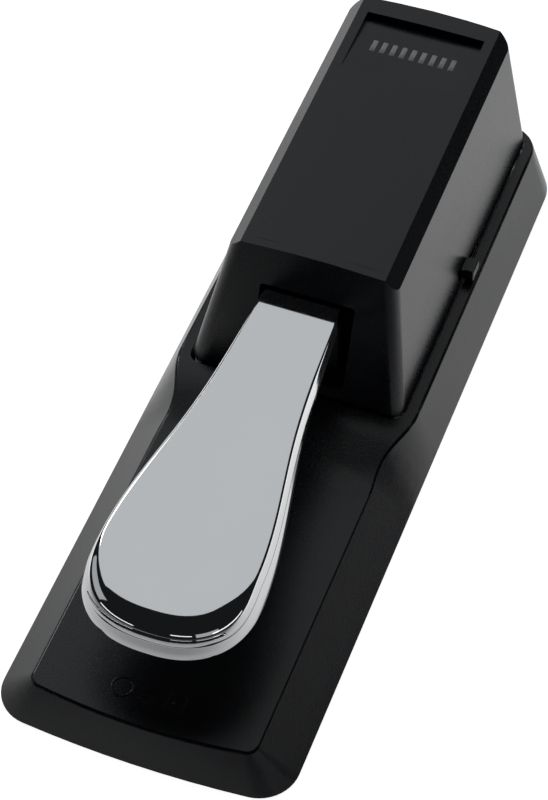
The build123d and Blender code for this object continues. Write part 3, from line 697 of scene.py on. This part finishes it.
label_bars = [
    [(BAR_FIRST + BAR_PITCH * step, -BAR_HALF), (BAR_FIRST + BAR_PITCH * step, BAR_HALF)]
    for step in range(BAR_COUNT)
]
label_print = ribbon("label_print", label_bars, 1.9, 0.12, label_place)
tidy_mesh(label_print)
label_ink = plain_plastic("label_ink", (0.50, 0.51, 0.52), (0.58, 0.59, 0.60), 0.50)
label_print.data.materials.append(label_ink)
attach(label_print, "base")


# ---- floor and light -----------------------------------------------------------------------
FLOOR_HALF = 1.6
GLOW_Y = (-0.22, 0.04)     # the floor's glow grows between these
GLOW = (0.03, 0.84)
GLOW_SEEN = 0.95           # what the camera itself sees of the floor


def studio_floor():
    """White floor that glows evenly behind the object and dims towards the front."""
    mesh = bpy.data.meshes.new("studio_floor")
    corners = [(x * FLOOR_HALF, y * FLOOR_HALF, 0) for x, y in ((-1, -1), (1, -1), (1, 1), (-1, 1))]
    mesh.from_pydata(corners, [], [(0, 1, 2, 3)])
    floor = bpy.data.objects.new("studio_floor", mesh)
    scene.collection.objects.link(floor)
    s = Surface("studio_floor")
    mottle = s.noise(3.0, 2.0, 0.5)
    s.colour(mottle, (0.80, 0.80, 0.805), (0.83, 0.83, 0.83))
    split = s.node("ShaderNodeSeparateXYZ")
    s.link(s.coords, split.inputs["Vector"])
    falloff = s.remap(split.outputs["Y"], *GLOW_Y, *GLOW)
    seen = s.node("ShaderNodeLightPath").outputs["Is Camera Ray"]
    glow = s.math("MAXIMUM", falloff, s.math("MULTIPLY", seen, GLOW_SEEN))
    s.link(glow, s.shader.inputs["Emission Strength"])
    s.set(Roughness=0.9, Emission_Color=(1, 1, 1, 1))
    floor.data.materials.append(s.material)


SOFTBOX_TINT = (0.955, 0.98, 1.0)


def softbox(name, location, aim, width, height, radiance):
    """A rectangular soft light facing a point, with an even face of the given brightness."""
    data = bpy.data.lights.new(name, "AREA")
    data.shape = "RECTANGLE"
    data.size = width
    data.size_y = height
    data.energy = radiance * pi * width * height
    data.color = SOFTBOX_TINT
    light = bpy.data.objects.new(name, data)
    light.location = location
    light.rotation_euler = (Vector(aim) - Vector(location)).to_track_quat("-Z", "Y").to_euler()
    scene.collection.objects.link(light)


studio_floor()
softbox("rear_panel", (-0.36, 0.95, 1.25), (0, -0.05, 0.04), 2.0, 1.3, 0.56)
softbox("left_key", (-0.80, 0.60, 0.88), (0, 0.04, 0.05), 0.30, 0.30, 6.0)
softbox("low_strip_left", (-0.71, -0.95, 0.20), (0, -0.1, 0.04), 0.80, 0.07, 1.3)
softbox("low_strip_front", (0.23, -1.14, 0.33), (0, -0.1, 0.04), 0.42, 0.07, 1.3)
softbox("low_strip_right", (1.10, -0.44, 0.26), (0, -0.1, 0.04), 0.90, 0.10, 1.3)
softbox("left_panel", (-1.50, -0.25, 0.75), (0, 0, 0.04), 1.20, 0.70, 0.40)
softbox("right_panel", (1.10, -1.20, 0.45), (0, 0, 0.04), 0.90, 0.45, 0.40)


def studio_world():
    """Pale surround to the eye, dark for what the object reflects."""
    world = bpy.data.worlds.new("studio")
    scene.world = world
    world.use_nodes = True
    tree = world.node_tree
    background = tree.nodes["Background"]
    background.inputs["Color"].default_value = (0.9, 0.95, 1.0, 1)
    background.inputs["Strength"].default_value = 0.010
    pale = tree.nodes.new("ShaderNodeBackground")
    pale.inputs["Color"].default_value = (0.95, 0.95, 0.95, 1)
    pale.inputs["Strength"].default_value = 1.0
    mix = tree.nodes.new("ShaderNodeMixShader")
    path = tree.nodes.new("ShaderNodeLightPath")
    tree.links.new(path.outputs["Is Camera Ray"], mix.inputs["Fac"])
    tree.links.new(background.outputs["Background"], mix.inputs[1])
    tree.links.new(pale.outputs["Background"], mix.inputs[2])
    tree.links.new(mix.outputs["Shader"], tree.nodes["World Output"].inputs["Surface"])


studio_world()
